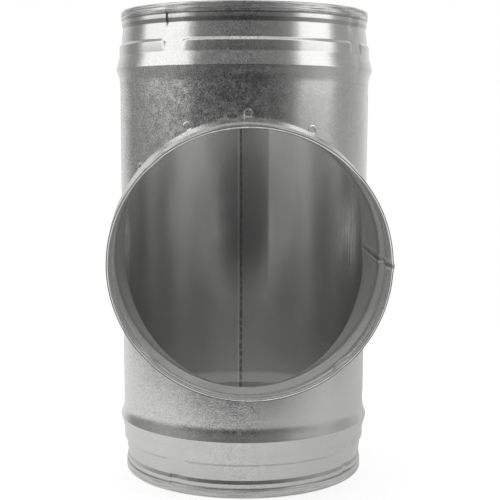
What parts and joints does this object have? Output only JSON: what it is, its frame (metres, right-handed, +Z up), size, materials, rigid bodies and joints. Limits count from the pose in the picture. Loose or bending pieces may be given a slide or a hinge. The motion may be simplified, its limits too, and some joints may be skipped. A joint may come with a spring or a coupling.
{
  "type": "duct tee",
  "caption": "Equal round duct tee in galvanised sheet: a straight run with a spot-welded branch at right angles, each end a hemmed spigot with a seal groove and a stop bead.",
  "frame": {"origin": "centre of the run's lower open end, on the run's axis, in the plane that the tee stands on", "axes": "+Z up along the run, -Y along the branch, out of its mouth"},
  "size_m": [0.1632, 0.202, 0.295],
  "materials": {
    "galvanised_steel": "satin"
  },
  "bodies": {
    "root": {"run_body": "galvanised_steel", "branch_collar": "galvanised_steel"}
  },
  "joints": []
}
